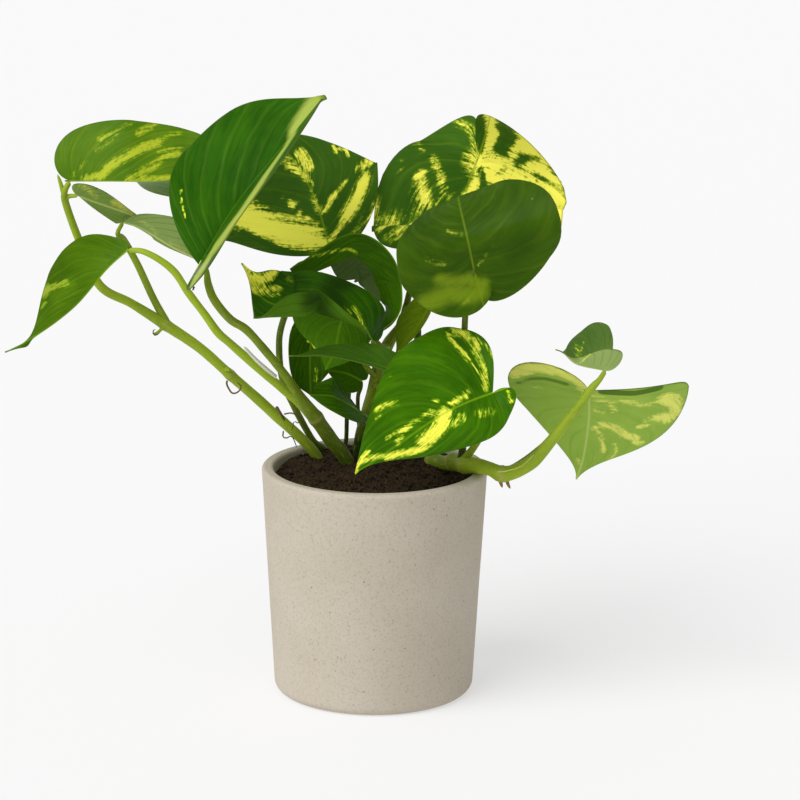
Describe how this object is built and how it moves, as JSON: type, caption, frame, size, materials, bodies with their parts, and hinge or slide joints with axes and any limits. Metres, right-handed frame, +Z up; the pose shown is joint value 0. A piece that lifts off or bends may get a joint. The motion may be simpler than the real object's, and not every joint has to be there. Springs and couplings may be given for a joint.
{
  "type": "potted pothos plant",
  "caption": "Golden pothos with heart-shaped variegated leaves on leaning vines, growing in soil in a tapered stoneware pot.",
  "frame": {"origin": "centre of the pot's flat underside", "axes": "+Z up; -Y is the front seen in the picture; +X to the right of it"},
  "size_m": [0.3899, 0.1442, 0.3538],
  "materials": {
    "stoneware": "matte, finely speckled grey-beige stoneware",
    "soil": "matte, dark crumbly potting mix",
    "stem": "smooth fleshy yellow-green stem",
    "leaf_dark": "glossy deep green leaf",
    "leaf_green": "glossy green leaf with yellow flecks",
    "leaf_olive": "satin olive-green leaf",
    "leaf_variegated": "satin green leaf with large yellow streaks",
    "leaf_pale": "matte, pale grey-green leaf underside"
  },
  "bodies": {
    "root": {"pot": "stoneware", "soil": "soil", "stemLeft": "stem", "stemMiddle": "stem", "stemBack": "stem", "stemCentre": "stem", "stemRight": "stem", "leafBig": "leaf_dark", "leafUpperLeft": "leaf_variegated", "leafYoung": "leaf_pale", "leafUnderside": "leaf_pale", "leafLowerLeft": "leaf_green", "leafBack": "leaf_variegated", "leafTopRight": "leaf_variegated", "leafRound": "leaf_olive", "leafFront": "leaf_green", "leafRight": "leaf_pale", "leafSmall": "leaf_green", "leafCurly": "leaf_dark", "leafArch": "leaf_dark", "leafBright": "leaf_green", "leafNarrow": "leaf_pale", "leafDark": "leaf_dark", "leafLower": "leaf_dark", "leafShade": "leaf_dark", "leafOlive": "leaf_olive"}
  },
  "joints": []
}
